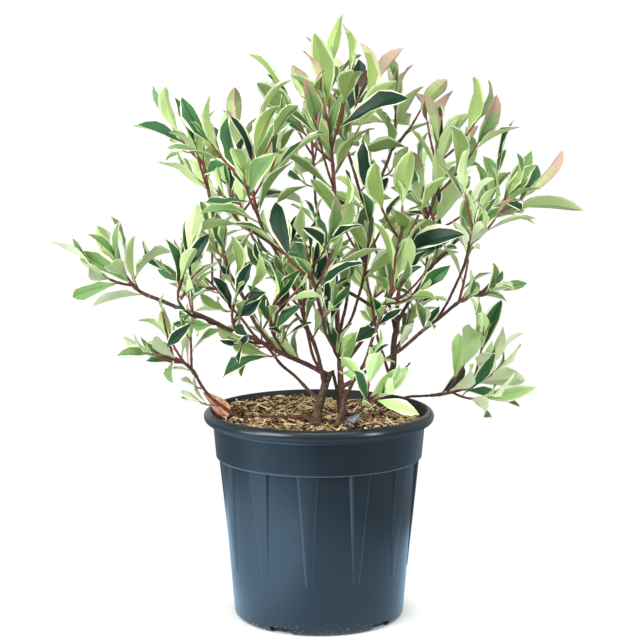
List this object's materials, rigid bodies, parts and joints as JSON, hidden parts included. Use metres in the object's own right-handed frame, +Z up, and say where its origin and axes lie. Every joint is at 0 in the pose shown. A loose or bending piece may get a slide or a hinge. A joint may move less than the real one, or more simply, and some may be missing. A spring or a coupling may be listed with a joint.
{
  "type": "potted photinia shrub",
  "caption": "Young variegated photinia in a round ribbed nursery pot: slim stems rise from bark mix and fork into upright shoots of cream-edged leaves.",
  "frame": {"origin": "middle of the pot's flat underside, on the ground", "axes": "+Z up along the pot's axis, -Y towards the side that the picture shows, +X to its right"},
  "size_m": [0.4988, 0.3649, 0.5878],
  "materials": {
    "pot": "satin moulded plastic, dark blue-grey",
    "mix": "loose bark and fibre, matt",
    "bark": "thin brown bark, red-brown on young wood",
    "leaf": "leathery leaves, green with cream margins",
    "dry_leaf": "dry curled leaf, orange-brown"
  },
  "bodies": {
    "root": {"pot": "pot", "potting_mix": "mix", "dry_leaf": "dry_leaf", "trunk": "bark", "leader": "bark", "rear_stem": "bark", "low_left_stem": "bark", "low_right_stem": "bark", "bough_far_left": "bark", "bough_upper_left": "bark", "bough_left_inner": "bark", "bough_crossing": "bark", "bough_right_main": "bark", "bough_far_right": "bark", "bough_right_low": "bark", "bough_right_fork": "bark", "bough_inner_right": "bark", "bough_inner_cross": "bark", "bough_mid_left": "bark", "bough_front_left": "bark", "bough_front_shoot": "bark", "bough_centre_front": "bark", "bough_centre_right": "bark", "bough_low_centre_left": "bark", "bough_low_centre_right": "bark", "bough_centre": "bark", "bough_middle": "bark", "bough_rear_left": "bark", "bough_rear_middle": "bark", "bough_rear_right": "bark", "bough_rear_low_left": "bark", "bough_rear_low_right": "bark", "foliage_top": "leaf", "foliage_upper_left": "leaf", "foliage_upper_left_front": "leaf", "foliage_left_middle": "leaf", "foliage_far_left": "leaf", "foliage_mid_left": "leaf", "foliage_front_left": "leaf", "foliage_low_left": "leaf", "foliage_upper_right": "leaf", "foliage_right": "leaf", "foliage_far_right": "leaf", "foliage_right_middle": "leaf", "foliage_right_fork": "leaf", "foliage_low_right": "leaf", "foliage_front_shoot": "leaf", "foliage_upper_middle": "leaf", "foliage_middle": "leaf", "foliage_rear_inner": "leaf", "foliage_centre": "leaf", "foliage_centre_front": "leaf", "foliage_centre_right": "leaf", "foliage_low_centre_left": "leaf", "foliage_low_centre_right": "leaf", "foliage_rear_left": "leaf", "foliage_rear_middle": "leaf", "foliage_rear_right": "leaf", "foliage_rear_low_left": "leaf", "foliage_rear_low_right": "leaf"}
  },
  "joints": []
}
